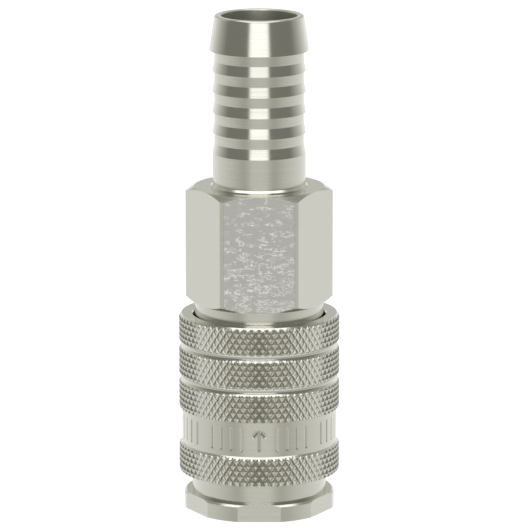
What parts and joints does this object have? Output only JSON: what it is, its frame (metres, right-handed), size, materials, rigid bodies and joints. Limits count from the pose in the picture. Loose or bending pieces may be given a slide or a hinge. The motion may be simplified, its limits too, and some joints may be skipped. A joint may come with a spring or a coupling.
{
  "type": "quick-release hose coupling socket",
  "caption": "Nickel-plated ball-lock coupling socket: a knurled sleeve slides on the body, a self-closing valve inside, a wrench hexagon and a barbed hose tail.",
  "frame": {"origin": "centre of the mouth flange's face, on which the coupling stands", "axes": "+Z along the coupling's axis from the mouth to the hose tail; a flat of the flange and a flat of the hexagon face -Y"},
  "size_m": [0.0336, 0.0336, 0.104],
  "materials": {
    "nickel_plate": "nickel-plated, fine turning marks",
    "turned_brass": "bare turned brass",
    "ball_steel": "polished steel",
    "spring_steel": "drawn wire and strip",
    "seal_rubber": "moulded, matt",
    "white_plastic": "turned, waxy"
  },
  "bodies": {
    "socket": {"socket_body": "nickel_plate", "rear_connector": "nickel_plate", "seal_carrier": "turned_brass", "plug_seal": "seal_rubber", "backup_ring": "white_plastic", "carrier_seal": "seal_rubber", "body_seal": "seal_rubber", "valve_guide": "turned_brass", "spring_washer": "spring_steel", "sleeve_spring": "spring_steel", "ring_spring": "spring_steel", "valve_spring": "spring_steel"},
    "sleeve": {"locking_sleeve": "nickel_plate"},
    "ball_1": {"locking_ball_1": "ball_steel"},
    "ball_2": {"locking_ball_2": "ball_steel"},
    "ball_3": {"locking_ball_3": "ball_steel"},
    "ball_4": {"locking_ball_4": "ball_steel"},
    "ball_5": {"locking_ball_5": "ball_steel"},
    "ball_6": {"locking_ball_6": "ball_steel"},
    "retainer": {"ball_retainer_ring": "turned_brass"},
    "valve": {"valve_poppet": "turned_brass", "valve_seal": "seal_rubber"}
  },
  "joints": [
    {"name": "sleeve_slide", "type": "slide", "parent": "socket", "child": "sleeve", "axis": [0, 0, 1], "range_m": [-0.00425, 0.00215], "stiffness_N_per_m": 3000, "deforming": ["sleeve_spring"]},
    {"name": "ball_1_slide", "type": "slide", "parent": "socket", "child": "ball_1", "axis": [1, 0, 0], "range_m": [-0.0011, 0.00055]},
    {"name": "ball_2_slide", "type": "slide", "parent": "socket", "child": "ball_2", "axis": [0.5, 0.866, 0], "range_m": [-0.0011, 0.00055]},
    {"name": "ball_3_slide", "type": "slide", "parent": "socket", "child": "ball_3", "axis": [-0.5, 0.866, 0], "range_m": [-0.0011, 0.00055]},
    {"name": "ball_4_slide", "type": "slide", "parent": "socket", "child": "ball_4", "axis": [-1, 0, 0], "range_m": [-0.0011, 0.00055]},
    {"name": "ball_5_slide", "type": "slide", "parent": "socket", "child": "ball_5", "axis": [-0.5, -0.866, 0], "range_m": [-0.0011, 0.00055]},
    {"name": "ball_6_slide", "type": "slide", "parent": "socket", "child": "ball_6", "axis": [0.5, -0.866, 0], "range_m": [-0.0011, 0.00055]},
    {"name": "retainer_slide", "type": "slide", "parent": "socket", "child": "retainer", "axis": [0, 0, 1], "range_m": [-0.0015, 0.00295], "deforming": ["ring_spring"]},
    {"name": "valve_slide", "type": "slide", "parent": "socket", "child": "valve", "axis": [0, 0, 1], "range_m": [0, 0.005], "stiffness_N_per_m": 800, "springref_m": -0.004, "deforming": ["valve_spring"]}
  ],
  "couplings": [
    {"joint": "ball_1_slide", "follows": "sleeve_slide", "ratio": 0.25},
    {"joint": "ball_2_slide", "follows": "sleeve_slide", "ratio": 0.25},
    {"joint": "ball_3_slide", "follows": "sleeve_slide", "ratio": 0.25},
    {"joint": "ball_4_slide", "follows": "sleeve_slide", "ratio": 0.25},
    {"joint": "ball_5_slide", "follows": "sleeve_slide", "ratio": 0.25},
    {"joint": "ball_6_slide", "follows": "sleeve_slide", "ratio": 0.25},
    {"joint": "retainer_slide", "follows": "sleeve_slide", "ratio": -0.68687}
  ]
}
